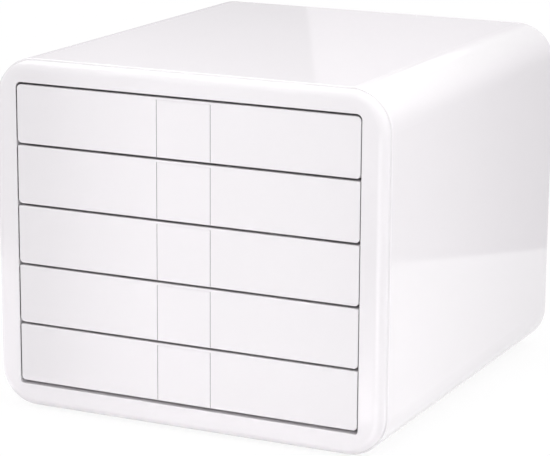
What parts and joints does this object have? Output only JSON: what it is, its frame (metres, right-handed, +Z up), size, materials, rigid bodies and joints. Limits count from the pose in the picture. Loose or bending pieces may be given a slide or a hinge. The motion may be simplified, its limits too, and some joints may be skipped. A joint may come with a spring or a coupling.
{
  "type": "desktop drawer box",
  "caption": "Desktop file box with closed drawers: a rounded gloss housing whose flush fronts open by a rocking pull in the middle.",
  "frame": {"origin": "middle of the footprint, on the plane that the feet stand on", "axes": "+Z up, -Y out of the drawers' fronts, +X to the right as seen from the front"},
  "size_m": [0.329, 0.357, 0.277],
  "materials": {
    "housing_white": "high gloss moulded plastic",
    "front_white": "high gloss moulded plastic",
    "tray_white": "satin moulded plastic",
    "runner_white": "satin moulded plastic",
    "steel": "bright drawn wire",
    "foot_rubber": "matte"
  },
  "bodies": {
    "housing": {"housing_shell": "housing_white", "front_frame": "housing_white", "runner_panel_left": "runner_white", "runner_panel_right": "runner_white", "foot_front_left": "foot_rubber", "foot_front_right": "foot_rubber", "foot_back_left": "foot_rubber", "foot_back_right": "foot_rubber"},
    "drawer_1": {"drawer_tray_1": "tray_white", "drawer_front_1": "front_white", "pull_pin_1": "steel", "pull_spring_1": "steel"},
    "drawer_2": {"drawer_tray_2": "tray_white", "drawer_front_2": "front_white", "pull_pin_2": "steel", "pull_spring_2": "steel"},
    "drawer_3": {"drawer_tray_3": "tray_white", "drawer_front_3": "front_white", "pull_pin_3": "steel", "pull_spring_3": "steel"},
    "drawer_4": {"drawer_tray_4": "tray_white", "drawer_front_4": "front_white", "pull_pin_4": "steel", "pull_spring_4": "steel"},
    "drawer_5": {"drawer_tray_5": "tray_white", "drawer_front_5": "front_white", "pull_pin_5": "steel", "pull_spring_5": "steel"},
    "pull_1": {"pull_1": "front_white"},
    "pull_2": {"pull_2": "front_white"},
    "pull_3": {"pull_3": "front_white"},
    "pull_4": {"pull_4": "front_white"},
    "pull_5": {"pull_5": "front_white"}
  },
  "joints": [
    {"name": "drawer_1_slide", "type": "slide", "parent": "housing", "child": "drawer_1", "axis": [0, -1, 0], "range_m": [0, 0.265]},
    {"name": "drawer_2_slide", "type": "slide", "parent": "housing", "child": "drawer_2", "axis": [0, -1, 0], "range_m": [0, 0.265]},
    {"name": "drawer_3_slide", "type": "slide", "parent": "housing", "child": "drawer_3", "axis": [0, -1, 0], "range_m": [0, 0.265]},
    {"name": "drawer_4_slide", "type": "slide", "parent": "housing", "child": "drawer_4", "axis": [0, -1, 0], "range_m": [0, 0.265]},
    {"name": "drawer_5_slide", "type": "slide", "parent": "housing", "child": "drawer_5", "axis": [0, -1, 0], "range_m": [0, 0.265]},
    {"name": "pull_1_tilt", "type": "hinge", "parent": "drawer_1", "child": "pull_1", "pos_m": [0, -0.1747, 0.24155], "axis": [-1, 0, 0], "range_deg": [0, 25], "stiffness_Nm_per_rad": 0.03, "springref_deg": -11.46, "deforming": ["pull_spring_1"]},
    {"name": "pull_2_tilt", "type": "hinge", "parent": "drawer_2", "child": "pull_2", "pos_m": [0, -0.1747, 0.19425], "axis": [-1, 0, 0], "range_deg": [0, 25], "stiffness_Nm_per_rad": 0.03, "springref_deg": -11.46, "deforming": ["pull_spring_2"]},
    {"name": "pull_3_tilt", "type": "hinge", "parent": "drawer_3", "child": "pull_3", "pos_m": [0, -0.1747, 0.14695], "axis": [-1, 0, 0], "range_deg": [0, 25], "stiffness_Nm_per_rad": 0.03, "springref_deg": -11.46, "deforming": ["pull_spring_3"]},
    {"name": "pull_4_tilt", "type": "hinge", "parent": "drawer_4", "child": "pull_4", "pos_m": [0, -0.1747, 0.09965], "axis": [-1, 0, 0], "range_deg": [0, 25], "stiffness_Nm_per_rad": 0.03, "springref_deg": -11.46, "deforming": ["pull_spring_4"]},
    {"name": "pull_5_tilt", "type": "hinge", "parent": "drawer_5", "child": "pull_5", "pos_m": [0, -0.1747, 0.05235], "axis": [-1, 0, 0], "range_deg": [0, 25], "stiffness_Nm_per_rad": 0.03, "springref_deg": -11.46, "deforming": ["pull_spring_5"]}
  ]
}
